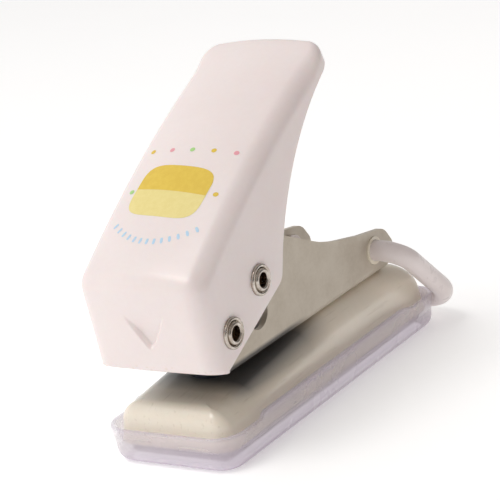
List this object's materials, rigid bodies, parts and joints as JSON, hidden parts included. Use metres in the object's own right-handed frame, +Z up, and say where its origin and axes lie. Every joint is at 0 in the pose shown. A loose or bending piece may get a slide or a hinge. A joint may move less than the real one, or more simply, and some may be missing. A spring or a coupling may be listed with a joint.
{
  "type": "single-hole punch",
  "caption": "Hand-held lever hole punch: a moulded lever on a pressed-steel frame drives a sprung punch rod into a die over a clip-on chip tray, with a swinging lock bail.",
  "frame": {"origin": "on the table, under the middle of the base block, which stands on the underside of its chip tray", "axes": "+X across the width (the two sides are mirror images), +Y to the rear where the lock bail hangs, +Z up"},
  "size_m": [0.0414, 0.0973, 0.0753],
  "materials": {
    "base_plastic": "satin moulded plastic, warm white",
    "die_steel": "turned and ground steel",
    "tray_plastic": "translucent flexible plastic with a lavender tint",
    "frame_paint": "pressed sheet steel with a warm grey satin coat",
    "bush_brass": "turned brass",
    "rivet_steel": "zinc-plated steel",
    "bush_plastic": "cream nylon",
    "tube_steel": "plain steel tube",
    "spring_steel": "bright spring wire",
    "lever_plastic": "gloss moulded plastic, very pale pink white",
    "nickel": "nickel-plated steel",
    "washer_nylon": "natural nylon",
    "punch_steel": "hardened and ground steel",
    "yoke_steel": "sintered steel",
    "bail_coat": "moulded plastic bar in the lever's pale pink white"
  },
  "bodies": {
    "base": {"base_shell": "base_plastic", "die_ring": "die_steel", "frame": "frame_paint", "guide_bush": "bush_brass", "frame_rivets": "rivet_steel", "bail_bushes": "bush_plastic", "fulcrum_spacer": "tube_steel", "return_spring": "spring_steel"},
    "tray": {"chip_tray": "tray_plastic"},
    "lever": {"lever_shell": "lever_plastic", "fulcrum_tube": "nickel", "fulcrum_eyelets": "nickel", "fulcrum_washers": "washer_nylon", "drive_tube": "nickel", "drive_eyelets": "nickel", "drive_washers": "washer_nylon", "drive_sleeve": "tube_steel"},
    "punch": {"punch_rod": "punch_steel", "punch_yoke": "yoke_steel", "spring_washer": "rivet_steel"},
    "bail": {"lock_bail": "bail_coat"}
  },
  "joints": [
    {"name": "lever_press", "type": "hinge", "parent": "base", "child": "lever", "pos_m": [0, -0.0369, 0.0278], "axis": [-1, 0, 0], "range_deg": [0, 37], "stiffness_Nm_per_rad": 0.141, "springref_deg": -17.19},
    {"name": "punch_slide", "type": "slide", "parent": "base", "child": "punch", "axis": [0, 0, -1], "range_m": [0, 0.00861], "deforming": ["return_spring"]},
    {"name": "bail_swing", "type": "hinge", "parent": "base", "child": "bail", "pos_m": [0, 0.0259, 0.0234], "axis": [1, 0, 0], "range_deg": [0, 172]},
    {"name": "tray_pull", "type": "slide", "parent": "base", "child": "tray", "axis": [0, 0, -1], "range_m": [0, 0.02]}
  ],
  "couplings": [
    {"joint": "punch_slide", "follows": "lever_press", "m_per_rad": 0.013289}
  ]
}
